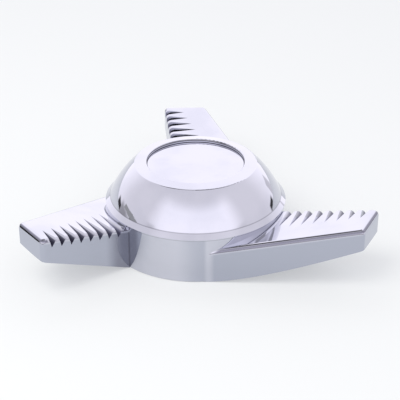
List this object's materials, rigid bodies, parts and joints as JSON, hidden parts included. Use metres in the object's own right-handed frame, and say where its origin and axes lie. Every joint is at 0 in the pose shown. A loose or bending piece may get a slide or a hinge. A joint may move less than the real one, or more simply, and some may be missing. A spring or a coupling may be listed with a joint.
{
  "type": "wire wheel spinner",
  "caption": "Chrome-plated knock-off spinner nut for a wire wheel: a domed round hub with an empty emblem recess and swept, rising bars with zig-zag grooves cut along their edge.",
  "frame": {"origin": "on the thread axis, in the plane of the flat ring under the hub, which is also the mouth of the taper seat", "axes": "+Z along the thread axis, out of the wheel towards the emblem recess; the first bar points along +Y, with its cut edge on the -X side"},
  "size_m": [0.2028, 0.1829, 0.0514],
  "materials": {
    "chrome": "polished"
  },
  "bodies": {
    "root": {"spinner_body": "chrome"}
  },
  "joints": []
}
